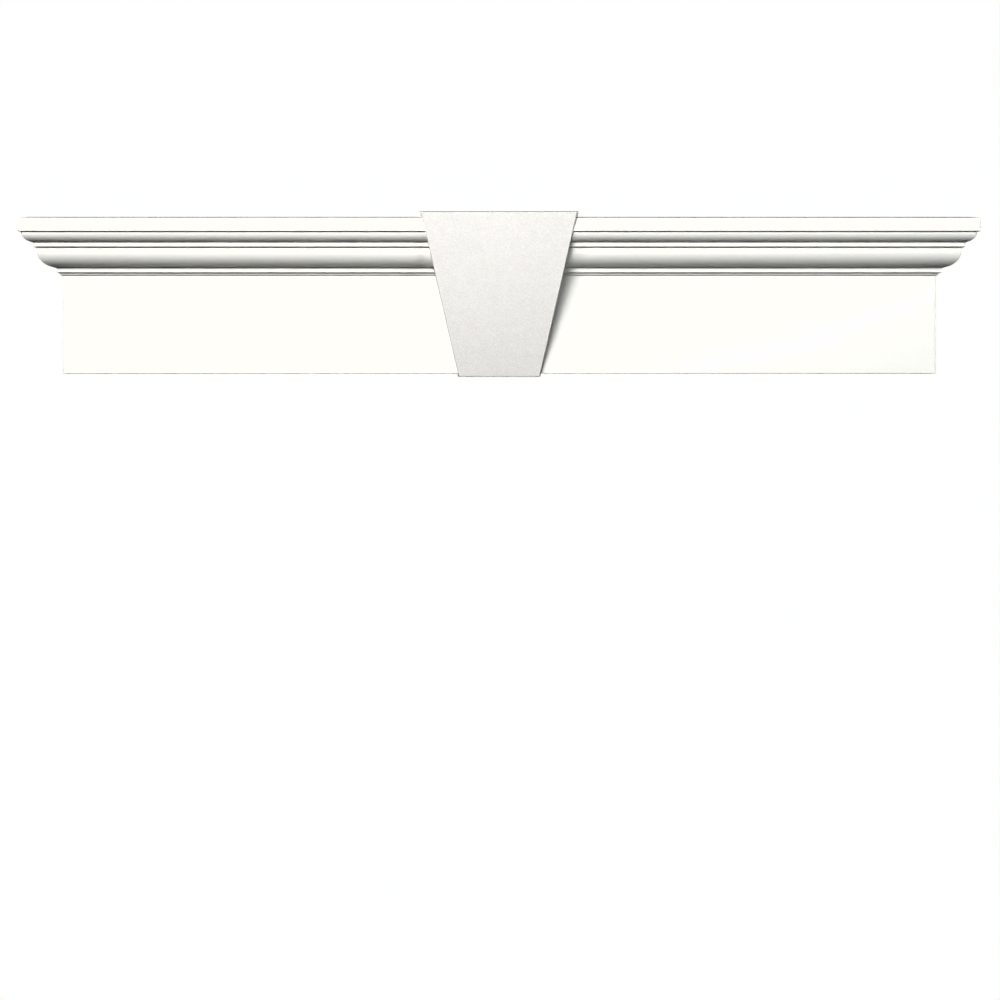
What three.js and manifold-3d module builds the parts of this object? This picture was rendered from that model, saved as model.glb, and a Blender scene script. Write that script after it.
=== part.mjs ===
// A moulded window header: a hollow crosshead with a plain frieze, two ovolos, two fillets and a cap, all
// returned round its ends, and a separate tapered keystone that straddles its middle.
// Millimetres. X runs along the header, -Y comes out of the wall and +Z is up. The wall is the plane Y = 0,
// and the origin is the middle of the lower rim of the header's open back.

import * as THREE from 'three';
import { mergeVertices } from 'three/addons/utils/BufferGeometryUtils.js';
import Module from 'manifold-3d';

const wasm = await Module();
wasm.setup();

// Sizes of the header
const PANEL_WIDTH = 854.1; // 33 5/8 inches, across the frieze panel's face
const HEADER_WALL = 3;
const ARRIS = 0.6; // rounding of an outer edge
const DRAFT = Math.tan(THREE.MathUtils.degToRad(2)); // ends and undersides spread towards the wall
const TOP_RISE = Math.tan(THREE.MathUtils.degToRad(2.4)); // the cap's top climbs towards the wall

// The steps of the section, from the frieze up: how far the face stands out from the wall, how tall it is,
// and how far its lower edge is rounded. An ovolo is a step that is rounded over all or nearly all of its
// projection.
const STEPS = [
  { projection: 32.2, height: 95.75, round: ARRIS }, // frieze panel
  { projection: 34.65, height: 2.95, round: 2.45 }, // quarter-round bead
  { projection: 37.5, height: 5.4, round: 0.85 }, // lower fillet
  { projection: 53.8, height: 19.35, round: 16.3 }, // large ovolo and the strip over it
  { projection: 56.8, height: 5.1, round: 1.1 }, // upper fillet
  { projection: 66.6, height: 9.95, round: 9.65 }, // small ovolo
  { projection: 69.2, height: 12.95, round: ARRIS }, // cap
];

// Sizes of the keystone: its flat face leans, further out at the head than at the foot. Heights are measured
// from the lower front edge of the frieze panel.
const KEY_WALL = 2.5;
const KEY_DRAFT = Math.tan(THREE.MathUtils.degToRad(2.5)); // its sides spread towards the wall
const KEY_HEAD = { projection: 75, height: 156.7, halfWidth: 75, rise: TOP_RISE, inwards: -1 };
const KEY_FOOT = { projection: 36, height: -3, halfWidth: 39.4, rise: -DRAFT, inwards: 1 };
const WALL_GAP = 1; // the keystone stops this far short of the wall

const CLEARANCE = 0.3; // between the keystone and the header it is scribed to
const CUT_THROUGH = 1; // how far a cutting solid runs on past the face that it opens
const ARC_ERROR = 0.02; // how far a chord may leave its arc

// Places worked out from the sizes
const PANEL_PROJECTION = STEPS[0].projection;
const PANEL_FOOT = DRAFT * PANEL_PROJECTION - HEADER_WALL / 2; // height of the panel's lower front edge
const KEY_HEIGHT = KEY_HEAD.height - KEY_FOOT.height;
const KEY_LEAN = (KEY_HEAD.projection - KEY_FOOT.projection) / KEY_HEIGHT;
const KEY_SPLAY = (KEY_HEAD.halfWidth - KEY_FOOT.halfWidth) / KEY_HEIGHT + KEY_DRAFT * KEY_LEAN;

const vinyl = new THREE.MeshStandardMaterial({ color: 0xf4f3ea, roughness: 0.55, metalness: 0 });
const keystoneVinyl = new THREE.MeshStandardMaterial({ color: 0xefede5, roughness: 0.7, metalness: 0 });

// Points of a quarter circle about centre, from one angle to another a quarter turn on.
function quarterArc(centre, radius, startAngle) {
  if (radius <= ARC_ERROR) return [centre];
  const count = Math.ceil(Math.PI / 4 / Math.acos(1 - ARC_ERROR / radius));
  return Array.from({ length: count + 1 }, (_, index) => {
    const angle = startAngle + (index / count) * (Math.PI / 2);
    return new THREE.Vector2(radius * Math.cos(angle), radius * Math.sin(angle)).add(centre);
  });
}

// The levels of the section from its lowest edge up, each with its projection, its height and how fast its
// line climbs as it returns to the wall. A positive inset draws the section further in, for the hollow, and a
// negative one draws it further out, for what has to clear it.
function sectionLevels(inset) {
  const levels = [];
  const addLevel = (point, rise) => {
    const last = levels.at(-1);
    if (last && Math.hypot(last.projection - point.x, last.height - point.y) < ARC_ERROR) return;
    levels.push({ projection: point.x, height: point.y, rise });
  };
  let foot = PANEL_FOOT + inset;
  let innerFace = -Infinity;
  for (const step of STEPS) {
    const face = step.projection - inset;
    const isCap = step === STEPS.at(-1);
    const head = foot + step.height - (isCap ? 2 * inset : 0);
    const round = Math.min(Math.max(step.round - inset, 0), face - innerFace);
    const lowerCentre = new THREE.Vector2(face - round, foot + round);
    quarterArc(lowerCentre, round, -Math.PI / 2).forEach((point) => addLevel(point, -DRAFT));
    const headRound = isCap ? Math.max(ARRIS - inset, 0) : 0;
    const upperCentre = new THREE.Vector2(face - headRound, head - headRound);
    quarterArc(upperCentre, headRound, 0).forEach((point) => addLevel(point, isCap ? TOP_RISE : -DRAFT));
    foot = head;
    innerFace = face;
  }
  return levels;
}

// One level's line: from the wall out along the left return, along the front, and back along the right one.
function levelLine(level, cornerRadius, backY) {
  const halfWidth = PANEL_WIDTH / 2 + level.projection - PANEL_PROJECTION;
  const centre = new THREE.Vector2(halfWidth - cornerRadius, cornerRadius - level.projection);
  const plan = quarterArc(centre, cornerRadius, -Math.PI / 2);
  plan.push(new THREE.Vector2(halfWidth, backY));
  const right = plan.map(({ x, y }) => {
    const run = level.projection + y;
    return new THREE.Vector3(x + DRAFT * run, y, level.height + level.rise * run);
  });
  const left = right.map(({ x, y, z }) => new THREE.Vector3(-x, y, z)).reverse();
  return [...left, ...right];
}

// A closed solid from its points and its triangles of point numbers.
function solidOf(points, triangles) {
  const vertProperties = new Float32Array(points.flatMap((point) => point.toArray()));
  const triVerts = new Uint32Array(triangles.flat());
  return new wasm.Manifold(new wasm.Mesh({ numProp: 3, vertProperties, triVerts }));
}

// The whole moulding as a solid block, from its foot to its top and back to backY.
function mouldingBlock(inset, cornerRadius, backY) {
  const lines = sectionLevels(inset).map((level) => levelLine(level, cornerRadius, backY));
  const pointsInLine = lines[0].length;
  const numberOf = (line, place) => line * pointsInLine + place;
  const triangles = [];
  for (let line = 0; line + 1 < lines.length; line += 1) {
    for (let place = 0; place + 1 < pointsInLine; place += 1) {
      const [a, b] = [numberOf(line, place), numberOf(line, place + 1)];
      const [c, d] = [numberOf(line + 1, place + 1), numberOf(line + 1, place)];
      triangles.push([a, b, c], [a, c, d]);
    }
  }
  const top = lines.length - 1;
  for (let place = 1; place + 1 < pointsInLine; place += 1) {
    triangles.push([numberOf(0, 0), numberOf(0, place + 1), numberOf(0, place)]);
    triangles.push([numberOf(top, 0), numberOf(top, place), numberOf(top, place + 1)]);
  }
  const leftEdge = lines.map((_, line) => numberOf(line, 0));
  const rightEdge = lines.map((_, line) => numberOf(line, pointsInLine - 1)).reverse();
  const backEdge = [...leftEdge, ...rightEdge];
  const points = lines.flat();
  const backOutline = backEdge.map((number) => new THREE.Vector2(points[number].x, points[number].z));
  for (const [a, b, c] of THREE.ShapeUtils.triangulateShape(backOutline, [])) {
    triangles.push([backEdge[a], backEdge[c], backEdge[b]]);
  }
  return solidOf(points, triangles);
}

// The keystone as a solid block. A box's corners go to the corners where the leaning face, the splayed sides,
// the sloping head and foot and the plane Y = backY meet, all but the last moved in by inset.
function keystoneBlock(inset, backY) {
  const faceInset = inset * Math.hypot(1, KEY_LEAN);
  const sideInset = inset * Math.hypot(1, KEY_SPLAY);
  const box = new THREE.BoxGeometry(2, 2, 2);
  box.deleteAttribute('normal');
  box.deleteAttribute('uv');
  const merged = mergeVertices(box);
  const corners = merged.getAttribute('position');
  const points = Array.from({ length: corners.count }, (_, index) => {
    const corner = new THREE.Vector3().fromBufferAttribute(corners, index);
    const end = corner.z > 0 ? KEY_HEAD : KEY_FOOT;
    const endInset = end.inwards * inset;
    const frontY = (faceInset - KEY_LEAN * endInset) / (1 + KEY_LEAN * end.rise) - end.projection;
    const y = corner.y > 0 ? backY : frontY;
    const height = end.height + endInset + end.rise * (y + end.projection);
    const spread = KEY_SPLAY * (height - KEY_FOOT.height) + KEY_DRAFT * (y + KEY_FOOT.projection);
    return new THREE.Vector3(corner.x * (KEY_FOOT.halfWidth + spread - sideInset), y, PANEL_FOOT + height);
  });
  const numbers = merged.index.array;
  const triangles = Array.from({ length: numbers.length / 3 }, (_, face) => {
    return [...numbers.slice(face * 3, face * 3 + 3)];
  });
  return solidOf(points, triangles);
}

// A named mesh of a finished solid.
function meshOf(name, solid, material) {
  const { vertProperties, triVerts } = solid.getMesh();
  const geometry = new THREE.BufferGeometry();
  geometry.setAttribute('position', new THREE.BufferAttribute(vertProperties, 3));
  geometry.setIndex(new THREE.BufferAttribute(triVerts, 1));
  geometry.computeVertexNormals();
  const mesh = new THREE.Mesh(geometry, material);
  mesh.name = name;
  return mesh;
}

// The header: the moulding with an even wall, open at the back.
function makeHeader() {
  const hollow = mouldingBlock(HEADER_WALL, 0, CUT_THROUGH);
  return meshOf('header', mouldingBlock(0, ARRIS, 0).subtract(hollow), vinyl);
}

// The keystone: a hollow block, open at the back and scribed over the header.
function makeKeystone() {
  const shell = keystoneBlock(0, -WALL_GAP).subtract(keystoneBlock(KEY_WALL, CUT_THROUGH));
  const headerSpace = mouldingBlock(-CLEARANCE, 0, CUT_THROUGH);
  return meshOf('keystone', shell.subtract(headerSpace), keystoneVinyl);
}

const group = new THREE.Group();
group.add(makeHeader(), makeKeystone());

export default group;
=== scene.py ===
"""Looks of a moulded window header with a keystone, in metres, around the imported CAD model.

X runs along the header, -Y comes out of the wall and +Z is up. The wall is the plane Y = 0.
"""

import math

import bmesh
import bpy
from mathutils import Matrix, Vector


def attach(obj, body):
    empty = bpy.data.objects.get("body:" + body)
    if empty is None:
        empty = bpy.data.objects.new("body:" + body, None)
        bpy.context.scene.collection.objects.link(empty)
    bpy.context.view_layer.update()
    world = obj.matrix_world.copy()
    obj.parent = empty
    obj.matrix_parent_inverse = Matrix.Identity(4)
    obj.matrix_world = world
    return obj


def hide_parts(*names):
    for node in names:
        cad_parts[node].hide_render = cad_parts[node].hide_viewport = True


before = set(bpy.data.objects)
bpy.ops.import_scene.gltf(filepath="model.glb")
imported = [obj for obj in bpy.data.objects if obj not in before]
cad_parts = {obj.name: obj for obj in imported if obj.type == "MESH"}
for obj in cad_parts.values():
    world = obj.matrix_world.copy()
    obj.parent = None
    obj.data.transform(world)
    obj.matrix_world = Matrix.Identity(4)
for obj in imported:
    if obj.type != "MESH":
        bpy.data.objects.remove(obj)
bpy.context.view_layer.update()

MM = 0.001

# Sizes of the header
PANEL_WIDTH = 854.1 * MM
HEADER_WALL = 3 * MM
ARRIS = 0.6 * MM  # rounding of an outer edge
DRAFT = math.tan(math.radians(2))  # ends and undersides spread towards the wall
TOP_RISE = math.tan(math.radians(2.4))  # the cap's top climbs towards the wall

# Steps of the section from the frieze up: projection from the wall, height, and rounding of the lower edge
STEPS = [
    (32.2 * MM, 95.75 * MM, ARRIS),  # frieze panel
    (34.65 * MM, 2.95 * MM, 2.45 * MM),  # quarter-round bead
    (37.5 * MM, 5.4 * MM, 0.85 * MM),  # lower fillet
    (53.8 * MM, 19.35 * MM, 16.3 * MM),  # large ovolo and the strip over it
    (56.8 * MM, 5.1 * MM, 1.1 * MM),  # upper fillet
    (66.6 * MM, 9.95 * MM, 9.65 * MM),  # small ovolo
    (69.2 * MM, 12.95 * MM, ARRIS),  # cap
]
PANEL_PROJECTION = STEPS[0][0]
PANEL_FOOT = DRAFT * PANEL_PROJECTION - HEADER_WALL / 2

# Sizes of the keystone's head and foot: heights are measured from the panel's foot, rise says how fast the
# end climbs towards the wall, and inwards says which way is into the block
KEY_HEAD = {
    "projection": 75 * MM,
    "height": 156.7 * MM,
    "half_width": 75 * MM,
    "rise": TOP_RISE,
    "inwards": -1,
}
KEY_FOOT = {
    "projection": 36 * MM,
    "height": -3 * MM,
    "half_width": 39.4 * MM,
    "rise": -DRAFT,
    "inwards": 1,
}

# The keystone's other sizes
KEY_WALL = 2.5 * MM
KEY_DRAFT = math.tan(math.radians(2.5))  # its sides spread towards the wall
WALL_GAP = 1 * MM  # it stops this far short of the wall
CLEARANCE = 0.3 * MM  # between it and the header
KEY_HEIGHT = KEY_HEAD["height"] - KEY_FOOT["height"]
KEY_LEAN = (KEY_HEAD["projection"] - KEY_FOOT["projection"]) / KEY_HEIGHT
KEY_SPLAY = (KEY_HEAD["half_width"] - KEY_FOOT["half_width"]) / KEY_HEIGHT + KEY_DRAFT * KEY_LEAN

# Fineness of the surfaces
ARC_ERROR = 0.002 * MM  # how far a chord may leave its arc
CORNER_STEPS = 8  # chords round a corner
HOLD = 0.25 * MM  # width of the strip that keeps a flat face flat beside a rounding
MERGE = 0.001 * MM  # points closer than this are one
SMOOTH_BELOW = math.radians(22)  # an edge that turns more than this stays sharp

# The solids that the two shells are cut out with
CUT_THROUGH = 2 * MM  # they run on at least this far behind the wall plane
CUTTER = Vector((2, 0.2, 1))  # size of the block that takes off what lies behind that plane
CLOSING_CLIMB = 0.01  # a level's loose end climbs this part of its projection, so that no two of them meet

# Inputs that the three geometry trees share
SHAPE_INPUTS = ["Panel Width", "Panel Projection", "Draft", "Hold", "Back"]

# The two tones and the relief of each vinyl
HEADER_FINISH = {
    "light": (0.91, 0.904, 0.883),
    "dark": (0.89, 0.883, 0.862),
    "stipple_depth": 0.02 * MM,
}
KEYSTONE_FINISH = {
    "light": (0.896, 0.881, 0.867),
    "dark": (0.822, 0.809, 0.795),
    "stipple_depth": 0.15 * MM,
}

# The vinyl's noises, each with the size of its lumps and its detail, and how deep its waves are
STIPPLE = (1.3 * MM, 2.0)
MOTTLE = (9 * MM, 3.0)
DRIFT = (140 * MM, 1.0)
WAVE = (60 * MM, 0.0)
WAVE_DEPTH = 0.01 * MM

# The vinyl's middle tone and roughness, how far each noise moves them, and its gloss
MIDDLE_TONE = 0.5
STIPPLE_TONE = 1.2
MOTTLE_TONE = 0.3
DRIFT_TONE = 0.4
ROUGHNESS = 0.55
STIPPLE_ROUGHNESS = 0.08
MOTTLE_ROUGHNESS = 0.05
REFRACTIVE_INDEX = 1.5
GLOSS_LEVEL = 0.4

# The point that the lights face, and each light's azimuth in degrees left of straight out from the wall,
# elevation, distance, diameter, power and colour
AIM = Vector((0, -50 * MM, 80 * MM))
LIGHTS = {
    "near": (8, 24, 1.5, 0.5, 14.4, (1, 0.998, 0.99)),
    "far": (24, 20, 4.0, 1.3, 62, (1, 0.998, 0.99)),
    "side": (44, 26, 4.0, 1.0, 38, (1, 0.998, 0.99)),
    "fill": (-45, 12, 2.0, 0.5, 9.3, (0.945, 0.99, 1)),
    "low": (-70, -15, 2.0, 0.6, 2.0, (0.945, 0.99, 1)),
    "rear_left": (140, 6, 2.5, 1.2, 34, (1, 1, 1)),
    "rear_right": (-140, 6, 2.5, 1.2, 34, (1, 1, 1)),
    "rear_low": (180, -40, 2.0, 1.0, 14, (1, 1, 1)),
}

# The strength and colour of the even light, and the strength of the white backdrop
AMBIENT = 0.005
AMBIENT_COLOUR = (0.97, 1, 1, 1)
BACKDROP = 1.0

# The floor, a disc of many sides below the header
FLOOR_BELOW = 2.1
FLOOR_RADIUS = 5
FLOOR_SIDES = 128
FLOOR_COLOUR = (0.25, 0.25, 0.25, 1)
FLOOR_ROUGHNESS = 0.8
FLOOR_GLOW = 0.8

# The camera's focal length and sensor width in millimetres, its shift and its place
LENS = 90
SENSOR = 36
SHIFT = -0.206
EYE = (0.0008, -2.48, 0.0775)

# The picture's tones: levels within WHITE_BAND of 1, such as the backdrop's, are white, and others stop at
# IVORY where they reach it
CONTRAST = 1.8
IVORY = (1, 0.9955, 0.9718)
WHITE_BAND = 0.004


class Socket:
    """An output of a node, on which Python's arithmetic adds Math nodes."""

    def __init__(self, graph, socket):
        self.graph = graph
        self.socket = socket

    def maths(self, operation, *operands):
        values = dict(enumerate(operands))
        return self.graph.add("ShaderNodeMath", {"operation": operation}, values)["Value"]

    def __add__(self, other):
        return self.maths("ADD", self, other)

    def __radd__(self, other):
        return self.maths("ADD", other, self)

    def __sub__(self, other):
        return self.maths("SUBTRACT", self, other)

    def __rsub__(self, other):
        return self.maths("SUBTRACT", other, self)

    def __mul__(self, other):
        return self.maths("MULTIPLY", self, other)

    def __rmul__(self, other):
        return self.maths("MULTIPLY", other, self)

    def __truediv__(self, other):
        return self.maths("DIVIDE", self, other)

    def __mod__(self, other):
        return self.maths("FLOORED_MODULO", self, other)

    def __gt__(self, other):
        return self.maths("GREATER_THAN", self, other)

    def __lt__(self, other):
        return self.maths("LESS_THAN", self, other)

    def __abs__(self):
        return self.maths("ABSOLUTE", self)

    def __floor__(self):
        return self.maths("FLOOR", self)

    def sign(self):
        return self.maths("SIGN", self)

    def sine(self):
        return self.maths("SINE", self)

    def cosine(self):
        return self.maths("COSINE", self)

    def clamped(self):
        return self.graph.add("ShaderNodeClamp", {}, {"Value": self})["Result"]


class Outputs:
    """A node's outputs, each as a Socket, by name."""

    def __init__(self, graph, node):
        self.graph = graph
        self.node = node

    def __getitem__(self, name):
        return Socket(self.graph, pick(self.node.outputs, name))


def pick(sockets, key):
    """The socket at a place, or the one in use that has a name."""
    if isinstance(key, int):
        return sockets[key]
    return next(socket for socket in sockets if socket.name == key and socket.enabled)


class Graph:
    """A node tree that nodes are added to, one call a node."""

    def __init__(self, tree):
        self.tree = tree
        tree.nodes.clear()

    def add(self, kind, settings=None, sockets=None):
        node = self.tree.nodes.new(kind)
        for name, value in (settings or {}).items():
            setattr(node, name, value)
        for key, value in (sockets or {}).items():
            socket = pick(node.inputs, key)
            for each in value if isinstance(value, list) else [value]:
                if isinstance(each, Socket):
                    self.tree.links.new(each.socket, socket)
                else:
                    socket.default_value = each
        return Outputs(self, node)


# Geometry trees


def geometry_graph(name, inputs):
    """A Geometry Nodes tree with a geometry in and out and named inputs, and its input node's outputs."""
    tree = bpy.data.node_groups.new(name, "GeometryNodeTree")
    graph = Graph(tree)
    tree.interface.new_socket("Geometry", in_out="INPUT", socket_type="NodeSocketGeometry")
    tree.interface.new_socket("Geometry", in_out="OUTPUT", socket_type="NodeSocketGeometry")
    for input_name, kind in inputs.items():
        tree.interface.new_socket(input_name, in_out="INPUT", socket_type="NodeSocket" + kind)
    return graph, graph.add("NodeGroupInput")


def stored(graph, name):
    """A number that the points store under a name."""
    return graph.add("GeometryNodeInputNamedAttribute", {"data_type": "FLOAT"}, {"Name": name})["Attribute"]


def sample(graph, geometry, data_type, value, index):
    """A value of a geometry's points, read at an index."""
    settings = {"data_type": data_type, "domain": "POINT"}
    sockets = {"Geometry": geometry, "Value": value, "Index": index}
    return graph.add("GeometryNodeSampleIndex", settings, sockets)["Value"]


def finish_tree(graph, mesh, finish):
    """Smooths all but the sharp edges, gives the finish and ends the tree."""
    angle = graph.add("GeometryNodeInputMeshEdgeAngle")["Unsigned Angle"]
    faces = graph.add("GeometryNodeSetShadeSmooth", {"domain": "FACE"}, {
        "Geometry": mesh,
        "Shade Smooth": True,
    })
    edges = graph.add("GeometryNodeSetShadeSmooth", {"domain": "EDGE"}, {
        "Geometry": faces["Geometry"],
        "Shade Smooth": angle < SMOOTH_BELOW,
    })
    real = graph.add("GeometryNodeRealizeInstances", {}, {"Geometry": edges["Geometry"]})
    done = graph.add("GeometryNodeSetMaterial", {}, {"Geometry": real["Geometry"], "Material": finish})
    graph.add("NodeGroupOutput", {}, {"Geometry": done["Geometry"]})


def make_block_tree():
    """The moulding as a closed block, drawn from a section of one point a level at (projection, 0, height).

    Each level runs along the front and back along both ends, past the wall plane, where a later cut takes
    off its loose end. A point's rise says how fast its level climbs towards the wall, and its closing is 1
    on the two levels that close the block in a fan.
    """
    inputs = {name: "Float" for name in SHAPE_INPUTS}
    inputs |= {"Corner Radius": "Float", "Corner Steps": "Int"}
    graph, given = geometry_graph("moulding block", inputs)
    section = given["Geometry"]
    steps = given["Corner Steps"]
    radius = given["Corner Radius"]
    back = given["Back"]
    size = graph.add("GeometryNodeAttributeDomainSize", {"component": "MESH"}, {"Geometry": section})
    levels = size["Point Count"]
    stations_a_side = steps + 5
    stations = 2 * stations_a_side
    grid = graph.add("GeometryNodeMeshGrid", {}, {"Vertices X": stations + 1, "Vertices Y": levels})
    index = graph.add("GeometryNodeInputIndex")["Index"]
    level = index % levels
    station = math.floor(index / levels) % stations

    # A level's own values
    position = graph.add("GeometryNodeInputPosition")["Position"]
    point = sample(graph, section, "FLOAT_VECTOR", position, level)
    split = graph.add("ShaderNodeSeparateXYZ", {}, {"Vector": point})
    projection = split["X"]
    rise = sample(graph, section, "FLOAT", stored(graph, "rise"), level)
    spread = 1 - sample(graph, section, "FLOAT", stored(graph, "closing"), level)

    # Places along half of a level, from the front to its end: 0 is held just before the corner, 1 to
    # steps + 1 turn it, and then come the place held just past it, the back and the loose end
    from_middle = station - stations_a_side + 0.5
    side = from_middle.sign()
    place = abs(from_middle) - 0.5
    is_first = place < 0.5
    is_past_corner = place > steps + 1.5
    is_back = place > steps + 2.5
    is_loose = (place > steps + 3.5) * spread
    turn = ((place - 1) / steps).clamped() * (math.pi / 2)

    half_width = given["Panel Width"] / 2 + projection - given["Panel Projection"]
    across = half_width - radius + radius * turn.sine() - given["Hold"] * is_first
    corner = radius - projection - radius * turn.cosine() + given["Hold"] * is_past_corner
    at_wall = 1 - (1 - is_back) * spread
    depth = corner + (back - corner) * at_wall + back * is_loose
    run = projection + depth
    climb = rise * run + (CLOSING_CLIMB * projection - rise * run) * is_loose
    place_at = graph.add("ShaderNodeCombineXYZ", {}, {
        "X": side * (across + given["Draft"] * run) * spread,
        "Y": depth,
        "Z": split["Z"] + climb,
    })["Vector"]
    moved = graph.add("GeometryNodeSetPosition", {}, {"Geometry": grid["Mesh"], "Position": place_at})
    merged = graph.add("GeometryNodeMergeByDistance", {}, {"Geometry": moved["Geometry"], "Distance": MERGE})
    graph.add("NodeGroupOutput", {}, {"Geometry": merged["Geometry"]})
    return graph.tree


def make_header_tree(block_tree):
    """The header: the outer section's block less the inner section's, cut off flat at the wall."""
    inputs = {name: "Float" for name in SHAPE_INPUTS}
    inputs |= {"Corner Radius": "Float", "Corner Steps": "Int", "Finish": "Material"}
    graph, given = geometry_graph("moulded header", inputs)
    sections = graph.add("GeometryNodeSeparateGeometry", {"domain": "POINT"}, {
        "Geometry": given["Geometry"],
        "Selection": stored(graph, "hollow") > 0.5,
    })
    shared = {name: given[name] for name in SHAPE_INPUTS}
    outside = graph.add("GeometryNodeGroup", {"node_tree": block_tree}, shared | {
        "Geometry": sections["Inverted"],
        "Corner Radius": given["Corner Radius"],
        "Corner Steps": given["Corner Steps"],
    })
    inside = graph.add("GeometryNodeGroup", {"node_tree": block_tree}, shared | {
        "Geometry": sections["Selection"],
        "Corner Radius": 0.0,
        "Corner Steps": 1,
    })
    cube = graph.add("GeometryNodeMeshCube", {}, {"Size": CUTTER})
    behind = graph.add("GeometryNodeTransform", {}, {
        "Geometry": cube["Mesh"],
        "Translation": (0, CUTTER.y / 2, 0),
    })
    shell = graph.add("GeometryNodeMeshBoolean", {"operation": "DIFFERENCE", "solver": "MANIFOLD"}, {
        "Mesh 1": outside["Geometry"],
        "Mesh 2": [inside["Geometry"], behind["Geometry"]],
    })
    finish_tree(graph, shell["Mesh"], given["Finish"])
    return graph.tree


def make_keystone_tree(block_tree):
    """The keystone: a solid block less its hollow and less the room that the header takes."""
    inputs = {name: "Float" for name in SHAPE_INPUTS}
    inputs |= {"Header Section": "Object", "Hollow": "Object", "Finish": "Material"}
    graph, given = geometry_graph("scribed keystone", inputs)
    own_space = {"transform_space": "ORIGINAL"}
    hollow = graph.add("GeometryNodeObjectInfo", own_space, {"Object": given["Hollow"]})
    section = graph.add("GeometryNodeObjectInfo", own_space, {"Object": given["Header Section"]})
    shared = {name: given[name] for name in SHAPE_INPUTS}
    header = graph.add("GeometryNodeGroup", {"node_tree": block_tree}, shared | {
        "Geometry": section["Geometry"],
        "Corner Radius": 0.0,
        "Corner Steps": 1,
    })
    shell = graph.add("GeometryNodeMeshBoolean", {"operation": "DIFFERENCE", "solver": "MANIFOLD"}, {
        "Mesh 1": given["Geometry"],
        "Mesh 2": [hollow["Geometry"], header["Geometry"]],
    })
    finish_tree(graph, shell["Mesh"], given["Finish"])
    return graph.tree


# Sections and blocks


def quarter_arc(centre, radius, start_angle):
    """Points of a quarter circle that leaves its chords by no more than ARC_ERROR."""
    if radius <= ARC_ERROR:
        return [centre]
    count = math.ceil(math.pi / 4 / math.acos(1 - ARC_ERROR / radius))
    angles = [start_angle + math.pi / 2 * step / count for step in range(count + 1)]
    return [(centre[0] + radius * math.cos(angle), centre[1] + radius * math.sin(angle)) for angle in angles]


def section_levels(inset):
    """The section's levels from the foot up, as projection, height and rise, drawn in by a positive inset.

    A level is held close to each end of a rounding, so that the flat faces beside it stay flat when
    smoothed.
    """
    levels = []

    def add(projection, height, rise):
        if not levels or math.dist(levels[-1][:2], (projection, height)) > HOLD / 2:
            levels.append((projection, height, rise))

    def add_all(points, rise):
        for point in points:
            if not levels or math.dist(levels[-1][:2], point) > ARC_ERROR:
                levels.append((*point, rise))

    foot = PANEL_FOOT + inset
    inner_face = 0
    for step in STEPS:
        projection, height, rounding = step
        face = projection - inset
        is_cap = step is STEPS[-1]
        head = foot + height - (2 * inset if is_cap else 0)
        radius = min(max(rounding - inset, 0), face - inner_face)
        if face - radius - HOLD > inner_face:
            add(face - radius - HOLD, foot - (DRAFT * HOLD if not levels else 0), -DRAFT)
        add_all(quarter_arc((face - radius, foot + radius), radius, -math.pi / 2), -DRAFT)
        if foot + radius + HOLD < head:
            add(face, foot + radius + HOLD, -DRAFT)
        if is_cap:
            top_radius = max(ARRIS - inset, 0)
            add(face, head - top_radius - HOLD, TOP_RISE)
            add_all(quarter_arc((face - top_radius, head - top_radius), top_radius, 0), TOP_RISE)
            add(face - top_radius - HOLD, head + TOP_RISE * HOLD, TOP_RISE)
        else:
            add(face, head, -DRAFT)
        foot = head
        inner_face = face
    return levels


def section_mesh(name, insets):
    """A mesh of one open line for each inset, with the values that the trees read stored on its points."""
    points = []
    edges = []
    stored_values = {"rise": [], "closing": [], "hollow": []}
    for order, inset in enumerate(insets):
        levels = section_levels(inset)
        for place, (projection, height, rise) in enumerate([levels[0], *levels, levels[-1]]):
            if place:
                edges.append((len(points) - 1, len(points)))
            points.append((projection, 0, height))
            stored_values["rise"].append(rise)
            stored_values["closing"].append(float(place in (0, len(levels) + 1)))
            stored_values["hollow"].append(float(order))
    mesh = bpy.data.meshes.new(name)
    mesh.from_pydata(points, edges, [])
    for value_name, values in stored_values.items():
        mesh.attributes.new(value_name, "FLOAT", "POINT").data.foreach_set("value", values)
    return mesh


def keystone_block(name, inset, back, rounding=0):
    """A mesh of the keystone as a closed block, drawn in by inset. A rounding spares only its back edges."""
    face_inset = inset * math.hypot(1, KEY_LEAN)
    side_inset = inset * math.hypot(1, KEY_SPLAY)
    shape = bmesh.new()
    bmesh.ops.create_cube(shape, size=2)
    for vert in shape.verts:
        side = vert.co.x
        end = KEY_HEAD if vert.co.z > 0 else KEY_FOOT
        end_inset = end["inwards"] * inset
        front = (face_inset - KEY_LEAN * end_inset) / (1 + KEY_LEAN * end["rise"]) - end["projection"]
        depth = back if vert.co.y > 0 else front
        height = end["height"] + end_inset + end["rise"] * (depth + end["projection"])
        spread = KEY_SPLAY * (height - KEY_FOOT["height"]) + KEY_DRAFT * (depth + KEY_FOOT["projection"])
        vert.co = (side * (KEY_FOOT["half_width"] + spread - side_inset), depth, PANEL_FOOT + height)
    if rounding:
        outer = [edge for edge in shape.edges if min(vert.co.y for vert in edge.verts) < back]
        bmesh.ops.bevel(
            shape, geom=outer, offset=rounding, segments=CORNER_STEPS, profile=0.5, affect="EDGES"
        )
        # The six largest faces are the block's own, and all but the back one are held flat
        flats = sorted(shape.faces, key=lambda face: face.calc_area())[-6:]
        held = [face for face in flats if face.normal.y < 0.5]
        bmesh.ops.inset_individual(shape, faces=held, thickness=HOLD)
    mesh = bpy.data.meshes.new(name)
    shape.to_mesh(mesh)
    shape.free()
    return mesh


# Pieces


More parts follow.
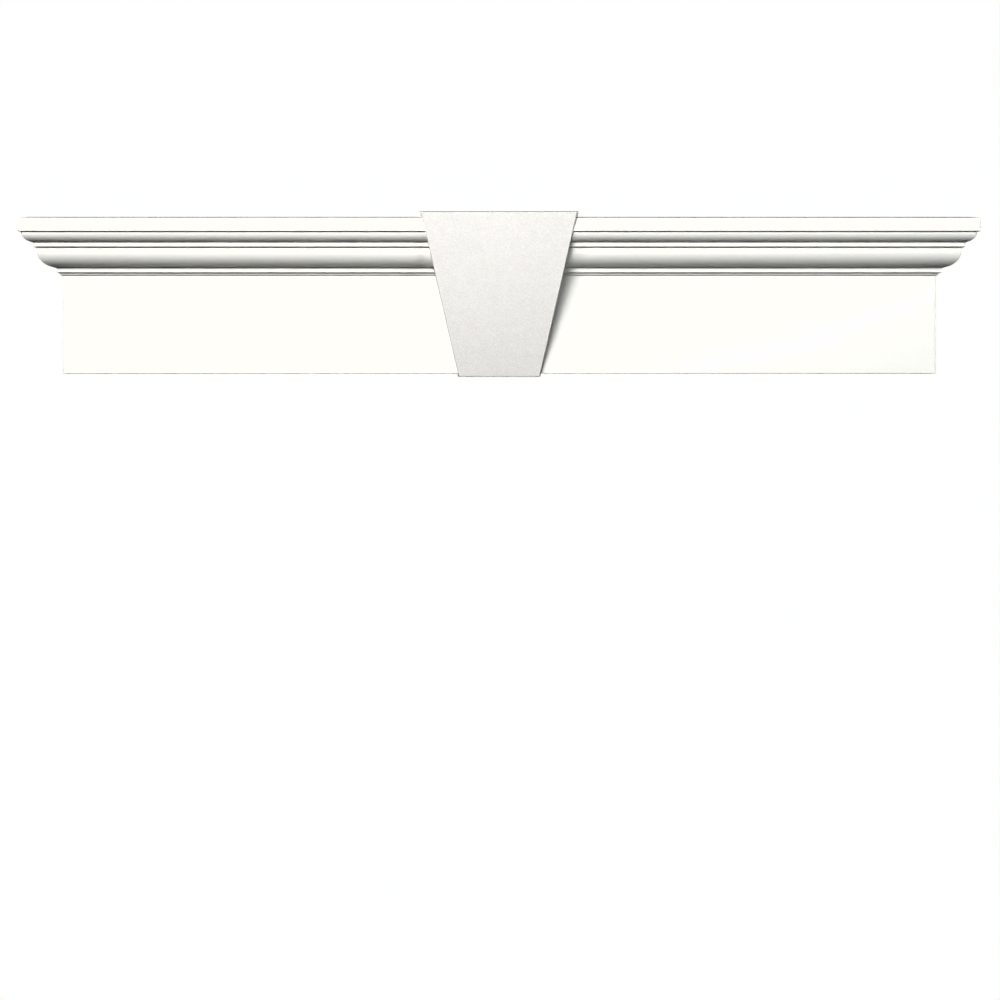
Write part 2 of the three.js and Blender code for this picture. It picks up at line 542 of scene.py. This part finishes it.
def add_object(name, mesh):
    """An object of a mesh, in the scene."""
    thing = bpy.data.objects.new(name, mesh)
    bpy.context.scene.collection.objects.link(thing)
    return thing


def grow(name, seed, tree, values):
    """The plain mesh piece that a tree grows from a seed mesh, with its inputs set by identifier."""
    source = add_object(name + "_seed", seed)
    modifier = source.modifiers.new("grow", "NODES")
    modifier.node_group = tree
    for item in tree.interface.items_tree:
        if item.name in values and item.in_out == "INPUT":
            modifier[item.identifier] = values[item.name]
    evaluated = source.evaluated_get(bpy.context.evaluated_depsgraph_get())
    piece = add_object(name, bpy.data.meshes.new_from_object(evaluated))
    source.modifiers.clear()
    bpy.data.objects.remove(source)
    return piece


def fit(piece, node):
    """The piece stands for its CAD node and moves with the part's one body."""
    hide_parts(node)
    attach(piece, "root")


def make_pieces():
    """The header and its keystone, each grown by its own tree."""
    block_tree = make_block_tree()
    shape = {
        "Panel Width": PANEL_WIDTH,
        "Panel Projection": PANEL_PROJECTION,
        "Draft": DRAFT,
        "Hold": HOLD,
        "Back": CUT_THROUGH,
    }
    sections = section_mesh("header_sections", [0, HEADER_WALL])
    header = grow("header_moulding", sections, make_header_tree(block_tree), shape | {
        "Corner Radius": ARRIS,
        "Corner Steps": CORNER_STEPS,
        "Finish": vinyl("header_vinyl", **HEADER_FINISH),
    })
    fit(header, "header")

    header_room = add_object("header_room", section_mesh("header_room", [-CLEARANCE]))
    hollow = add_object("keystone_hollow", keystone_block("keystone_hollow", KEY_WALL, CUT_THROUGH))
    block = keystone_block("keystone_block", 0, -WALL_GAP, ARRIS)
    keystone = grow("keystone_shell", block, make_keystone_tree(block_tree), shape | {
        "Header Section": header_room,
        "Hollow": hollow,
        "Finish": vinyl("keystone_vinyl", **KEYSTONE_FINISH),
    })
    fit(keystone, "keystone")
    for helper in (header_room, hollow):
        bpy.data.objects.remove(helper)


# Finishes


def vinyl(name, light, dark, stipple_depth):
    """Moulded vinyl: a fine stipple, slow waves from the mould and a tone between a light and a dark one."""
    finish = bpy.data.materials.new(name)
    finish.use_nodes = True
    graph = Graph(finish.node_tree)
    place = graph.add("ShaderNodeTexCoord")["Object"]

    def noise(size, detail):
        """Noise from about -1 to 1 with lumps of a size."""
        sockets = {"Vector": place, "Scale": 1 / size, "Detail": detail}
        return (graph.add("ShaderNodeTexNoise", {}, sockets)["Fac"] - 0.5) * 2

    stipple = noise(*STIPPLE)
    mottle = noise(*MOTTLE)
    drift = noise(*DRIFT)
    wave = noise(*WAVE)
    shade = (MIDDLE_TONE + STIPPLE_TONE * stipple + MOTTLE_TONE * mottle + DRIFT_TONE * drift).clamped()
    colour = graph.add("ShaderNodeMix", {"data_type": "RGBA"}, {
        "Factor": shade,
        "A": (*light, 1.0),
        "B": (*dark, 1.0),
    })["Result"]
    height = stipple * stipple_depth + wave * WAVE_DEPTH
    bump = graph.add("ShaderNodeBump", {}, {"Strength": 1.0, "Distance": 1.0, "Height": height})
    surface = graph.add("ShaderNodeBsdfPrincipled", {}, {
        "Base Color": colour,
        "Roughness": ROUGHNESS + STIPPLE_ROUGHNESS * stipple + MOTTLE_ROUGHNESS * mottle,
        "Normal": bump["Normal"],
        "IOR": REFRACTIVE_INDEX,
        "Specular IOR Level": GLOSS_LEVEL,
    })
    graph.add("ShaderNodeOutputMaterial", {}, {"Surface": surface["BSDF"]})
    return finish


# Studio


def add_light(name, azimuth, elevation, distance, diameter, power, colour):
    """A round soft light that faces the header."""
    light = bpy.data.lights.new(name, "AREA")
    light.shape = "DISK"
    light.size = diameter
    light.energy = power
    light.color = colour
    turn = math.radians(azimuth)
    climb = math.radians(elevation)
    towards = Vector((-math.sin(turn) * math.cos(climb), -math.cos(turn) * math.cos(climb), math.sin(climb)))
    lamp = add_object(name, light)
    lamp.location = AIM + distance * towards
    lamp.rotation_euler = towards.to_track_quat("Z", "Y").to_euler()


def add_world():
    """White to the camera, and a weak even light on everything else."""
    world = bpy.data.worlds.new("studio")
    bpy.context.scene.world = world
    world.use_nodes = True
    graph = Graph(world.node_tree)
    is_seen = graph.add("ShaderNodeLightPath")["Is Camera Ray"]
    white = graph.add("ShaderNodeBackground", {}, {"Strength": BACKDROP, "Color": (1, 1, 1, 1)})
    soft = graph.add("ShaderNodeBackground", {}, {"Strength": AMBIENT, "Color": AMBIENT_COLOUR})
    both = graph.add("ShaderNodeMixShader", {}, {0: is_seen, 1: soft["Background"], 2: white["Background"]})
    graph.add("ShaderNodeOutputWorld", {}, {"Surface": both["Shader"]})


def add_floor():
    """A plain pale round floor, as far below the header as on a house, with an even glow of its own."""
    shape = bmesh.new()
    bmesh.ops.create_circle(shape, cap_ends=True, segments=FLOOR_SIDES, radius=FLOOR_RADIUS)
    bmesh.ops.translate(shape, verts=shape.verts, vec=(0, 0, -FLOOR_BELOW))
    mesh = bpy.data.meshes.new("floor")
    shape.to_mesh(mesh)
    shape.free()
    floor = add_object("floor", mesh)
    floor.visible_diffuse = False
    finish = bpy.data.materials.new("floor_paint")
    finish.use_nodes = True
    graph = Graph(finish.node_tree)
    surface = graph.add("ShaderNodeBsdfPrincipled", {}, {
        "Base Color": FLOOR_COLOUR,
        "Roughness": FLOOR_ROUGHNESS,
        "Emission Color": (1, 1, 1, 1),
        "Emission Strength": FLOOR_GLOW,
    })
    graph.add("ShaderNodeOutputMaterial", {}, {"Surface": surface["BSDF"]})
    mesh.materials.append(finish)


def add_camera():
    """A long lens straight in front, shifted so that the header lies in the upper half of the picture."""
    lens = bpy.data.cameras.new("camera")
    lens.lens = LENS
    lens.sensor_width = SENSOR
    lens.shift_y = SHIFT
    camera = add_object("camera", lens)
    camera.location = EYE
    camera.rotation_euler = (math.pi / 2, 0, 0)
    bpy.context.scene.camera = camera


def set_tones():
    """The picture's contrast, a white backdrop, and ivory for whatever else is as bright."""
    view = bpy.context.scene.view_settings
    view.view_transform = "Standard"
    view.gamma = 1 / CONTRAST
    view.use_curve_mapping = True
    tones = view.curve_mapping
    tones.use_clip = False
    tones.extend = "HORIZONTAL"
    for curve, ivory in zip(tones.curves, IVORY):
        curve.points[-1].location = (1 + 2 * WHITE_BAND, ivory)
        bends = ((ivory, ivory), (1 - 2 * WHITE_BAND, ivory), (1 - WHITE_BAND, 1), (1 + WHITE_BAND, 1))
        for level, tone in bends:
            if level >= ivory:
                curve.points.new(level, tone)
        for point in curve.points:
            point.handle_type = "VECTOR"
    tones.update()


make_pieces()
add_floor()
add_world()
for light_name, light_facts in LIGHTS.items():
    add_light(light_name, *light_facts)
add_camera()
set_tones()
